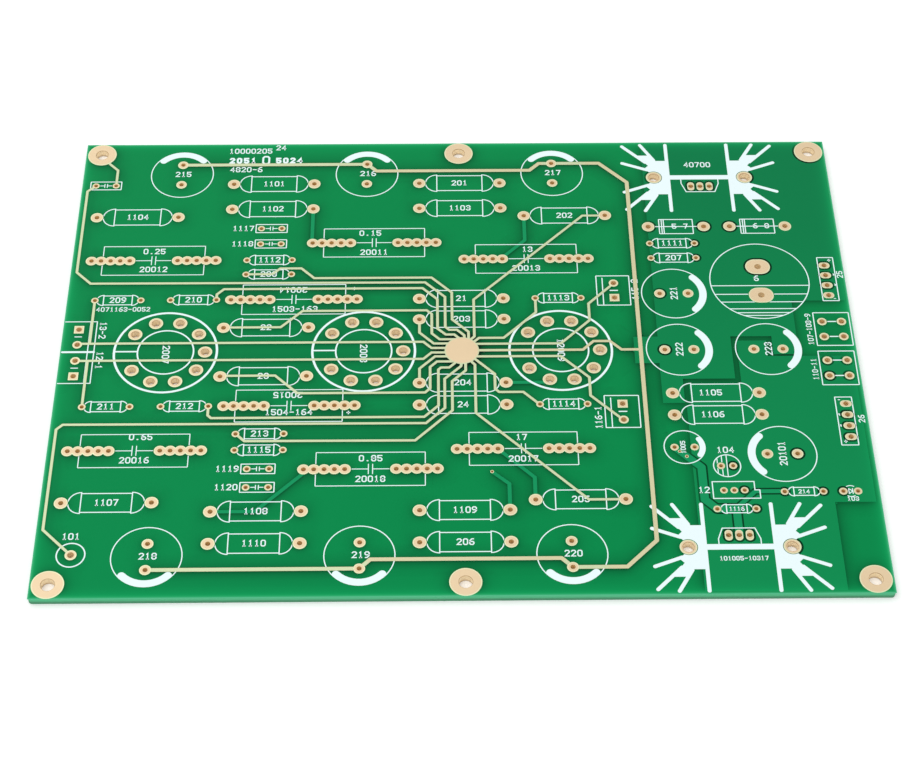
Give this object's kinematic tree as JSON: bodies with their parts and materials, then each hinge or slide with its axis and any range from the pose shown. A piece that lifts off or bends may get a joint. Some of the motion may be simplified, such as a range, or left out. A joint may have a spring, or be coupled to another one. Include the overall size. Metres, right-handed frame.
{
  "type": "phono preamplifier board",
  "caption": "Bare drilled double-sided green circuit board for a valve phono preamplifier, with tinned plated lands, star ground tracks, copper areas and a white component legend.",
  "frame": {"origin": "centre of the board outline, on the plane that the underside lands rest on", "axes": "+X along the length from the input terminals to the power supply, +Y across the width towards the upper channel, +Z out of the component side"},
  "size_m": [0.205, 0.15, 0.0022],
  "materials": {
    "green_laminate": "glossy green solder mask over glass-epoxy laminate",
    "masked_copper": "copper foil under glossy green solder mask",
    "tinned_copper": "tin-coated copper, satin, warm",
    "white_legend": "matt white screen-printed ink"
  },
  "bodies": {
    "root": {"adjust_capacitor_lands": "tinned_copper", "board_laminate": "green_laminate", "channel_electrolytic_lands": "tinned_copper", "chassis_ground_track": "tinned_copper", "diode_lands": "tinned_copper", "film_capacitor_strips": "tinned_copper", "ground_bus": "tinned_copper", "ground_wire_land": "tinned_copper", "heat_sink_lands": "tinned_copper", "heater_terminal_lands": "tinned_copper", "input_terminal_lands": "tinned_copper", "lamp_lands": "tinned_copper", "large_resistor_lands": "tinned_copper", "legend_channel_electrolytics": "white_legend", "legend_diodes": "white_legend", "legend_film_capacitors": "white_legend", "legend_ground_wire": "white_legend", "legend_heat_sinks": "white_legend", "legend_lamp": "white_legend", "legend_large_resistors": "white_legend", "legend_power_electrolytics": "white_legend", "legend_rectifiers": "white_legend", "legend_regulators": "white_legend", "legend_reservoir_capacitor": "white_legend", "legend_signal_terminals": "white_legend", "legend_small_capacitors": "white_legend", "legend_small_resistors": "white_legend", "legend_supply_terminals": "white_legend", "legend_trimmer": "white_legend", "legend_tube_sockets": "white_legend", "lower_copper_area": "masked_copper", "mains_terminal_lands": "tinned_copper", "masked_signal_tracks": "masked_copper", "mounting_hole_lands": "tinned_copper", "output_capacitor_lands": "tinned_copper", "output_terminal_lands": "tinned_copper", "power_electrolytic_lands": "tinned_copper", "rectifier_lands": "tinned_copper", "regulator_lands": "tinned_copper", "regulator_output_copper": "masked_copper", "reservoir_capacitor_lands": "tinned_copper", "small_capacitor_lands": "tinned_copper", "small_resistor_lands": "tinned_copper", "star_ground_tracks": "tinned_copper", "trimmer_lands": "tinned_copper", "tube_socket_lands": "tinned_copper", "upper_copper_area": "masked_copper", "via_lands": "tinned_copper"}
  },
  "joints": []
}
